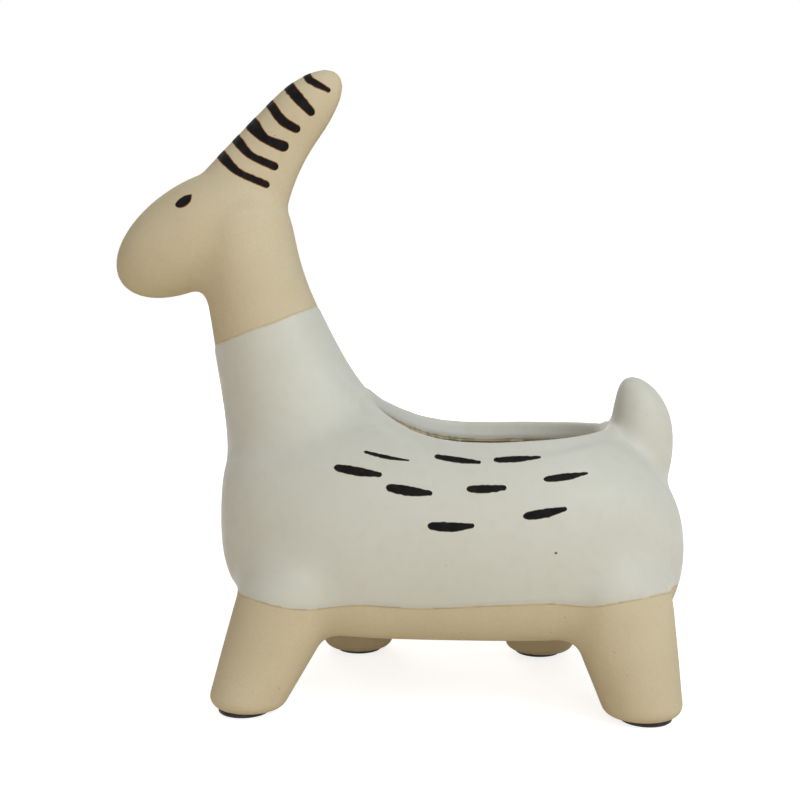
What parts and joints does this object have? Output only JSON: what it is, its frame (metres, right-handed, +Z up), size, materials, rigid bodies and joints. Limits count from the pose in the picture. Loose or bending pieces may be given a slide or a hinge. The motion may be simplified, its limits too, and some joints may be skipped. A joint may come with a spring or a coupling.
{
  "type": "animal planter",
  "caption": "Goat-shaped stoneware planter: hollow white-glazed body with an oval opening in its back, bare clay head, horns and legs, painted dashes and stripes, on rubber foot pads.",
  "frame": {"origin": "middle of the bounding box on the table plane, under the foot pads", "axes": "+Z up; the goat faces -X and its left side is towards -Y"},
  "size_m": [0.218, 0.1054, 0.2359],
  "materials": {
    "white_glaze": "satin white glaze with fine mottling",
    "bare_stoneware": "matte unglazed buff stoneware with painted charcoal marks",
    "pad_rubber": "matte black rubber"
  },
  "bodies": {
    "root": {"torso": "white_glaze", "neck": "white_glaze", "tail": "white_glaze", "head": "bare_stoneware", "horns": "bare_stoneware", "leg_front_left": "bare_stoneware", "leg_front_right": "bare_stoneware", "leg_rear_left": "bare_stoneware", "leg_rear_right": "bare_stoneware", "pad_front_left": "pad_rubber", "pad_front_right": "pad_rubber", "pad_rear_left": "pad_rubber", "pad_rear_right": "pad_rubber"}
  },
  "joints": []
}
